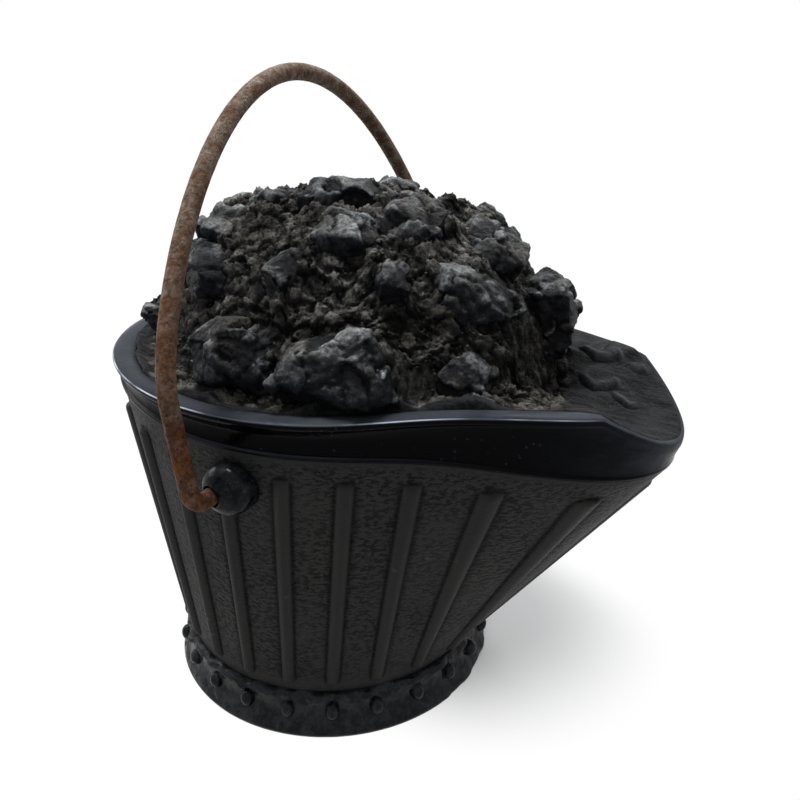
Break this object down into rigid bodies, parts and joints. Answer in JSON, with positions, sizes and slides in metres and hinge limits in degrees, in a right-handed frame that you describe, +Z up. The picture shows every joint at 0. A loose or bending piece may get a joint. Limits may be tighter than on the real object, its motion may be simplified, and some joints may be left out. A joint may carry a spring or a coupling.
{
  "type": "coal scuttle",
  "caption": "Small ribbed cast coal scuttle with a drawn-out pouring lip, a beaded foot, a swinging wire bail in two lugs, and a bedded heap of coal lumps.",
  "frame": {"origin": "middle of the bounding box on the table that the foot stands on", "axes": "+X towards the pouring lip, +Y across from lug to lug, +Z up"},
  "size_m": [0.111, 0.0992, 0.1215],
  "materials": {
    "cast_wall": "satin black paint over a finely pitted casting, dusty, with light wear on the ribs",
    "gloss_black": "glossier black paint, dusty, bluish highlights",
    "rusty_wire": "bare steel wire browned with rust, redder towards the hooks",
    "coal": "angular black lumps with dull and glassy faces, painted or moulded coal",
    "slack": "granular black-grey fines with brownish dust"
  },
  "bodies": {
    "scuttle": {"foot_ring": "gloss_black", "body": "cast_wall", "rim": "gloss_black", "lug_near": "gloss_black", "lug_far": "gloss_black", "coal_crown": "coal", "coal_crown_left": "coal", "coal_shoulder_left": "coal", "coal_flank_left": "coal", "coal_under_crown": "coal", "coal_shoulder_right": "coal", "coal_pebble": "coal", "coal_step_right": "coal", "coal_slab_right": "coal", "coal_end_right": "coal", "coal_front_left": "coal", "coal_front_middle": "coal", "coal_chip_middle": "coal", "coal_chip_upright": "coal", "coal_front_right": "coal", "coal_back_left": "coal", "coal_back_crown": "coal", "coal_back_shoulder_right": "coal", "coal_back_front_right": "coal", "coal_back_middle": "coal", "coal_back_base": "coal", "coal_back_flank": "coal", "coal_rear_shoulder": "coal", "coal_rear_base": "coal", "coal_rear_middle": "coal", "coal_rear_low": "coal", "coal_slack": "slack"},
    "bail": {"bail": "rusty_wire"}
  },
  "joints": [
    {"name": "bail_swing", "type": "hinge", "parent": "scuttle", "child": "bail", "pos_m": [-0.00893, 0, 0.0571], "axis": [0, 1, 0], "range_deg": [-130, 83]}
  ]
}
